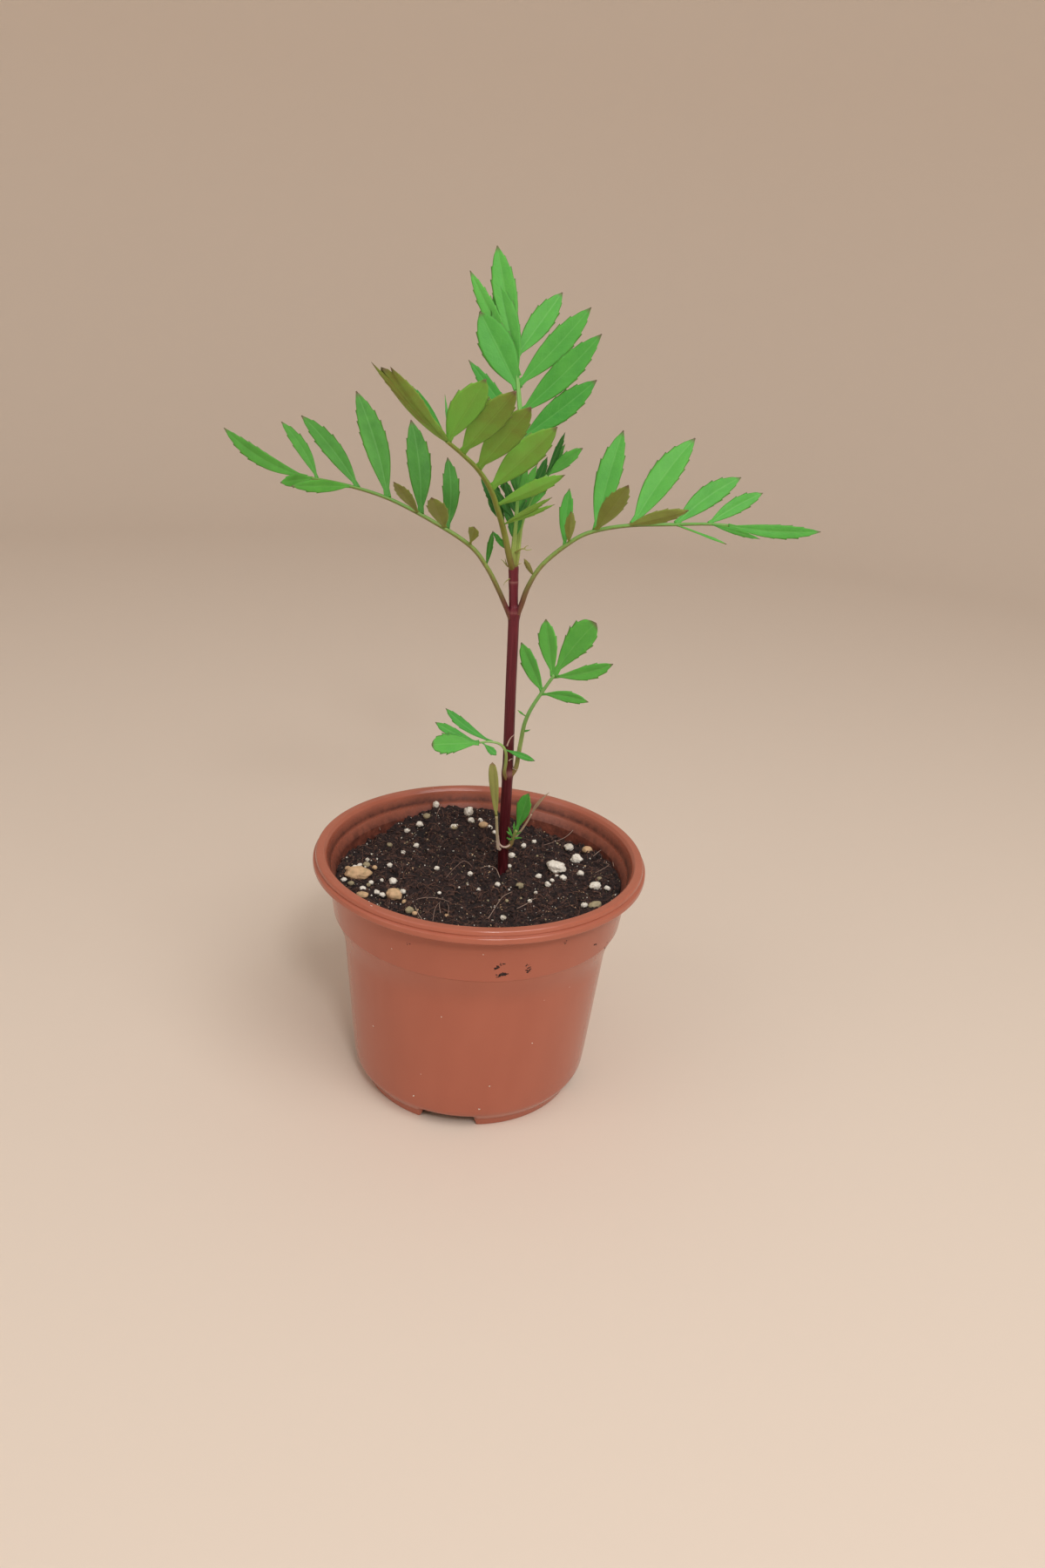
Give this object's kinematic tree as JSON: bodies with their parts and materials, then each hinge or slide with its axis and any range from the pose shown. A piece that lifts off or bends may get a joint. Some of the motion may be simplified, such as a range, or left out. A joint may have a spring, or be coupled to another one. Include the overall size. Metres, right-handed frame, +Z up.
{
  "type": "potted french marigold",
  "caption": "Young single-stemmed French marigold with feather-shaped toothed leaves, growing in a round brown plastic nursery pot of potting mix with perlite",
  "frame": {"origin": "middle of the whole object's bounding box in X and Y, at the height of the pot's feet", "axes": "+Z up along the stem, +X towards the right-hand leaf, -Y towards the viewer and the front leaf"},
  "size_m": [0.1712, 0.1148, 0.2552],
  "materials": {
    "nursery_plastic": "satin reddish brown moulded polypropylene",
    "potting_mix": "damp dark peat mix with fine fibres and crumbs",
    "stem_skin": "smooth ribbed maroon stem skin",
    "leaf_tissue": "soft matt green leaf with veins, olive below",
    "cotyledon_tissue": "ageing olive and tan seed leaf",
    "perlite": "rough white expanded perlite",
    "grit_stone": "rough tan grit"
  },
  "bodies": {
    "root": {"pot": "nursery_plastic", "potting_mix": "potting_mix", "stem": "stem_skin", "leaf_left": "leaf_tissue", "leaf_right": "leaf_tissue", "leaf_back": "leaf_tissue", "leaf_front": "leaf_tissue", "young_leaf_right": "leaf_tissue", "young_leaf_middle": "leaf_tissue", "young_leaf_left": "leaf_tissue", "lower_leaf_right": "leaf_tissue", "lower_leaf_left": "leaf_tissue", "side_shoot": "leaf_tissue", "cotyledon_left": "cotyledon_tissue", "cotyledon_right": "cotyledon_tissue", "stone_1": "grit_stone", "stone_2": "grit_stone", "perlite_1": "perlite", "perlite_2": "perlite", "perlite_3": "perlite", "perlite_4": "perlite"}
  },
  "joints": []
}
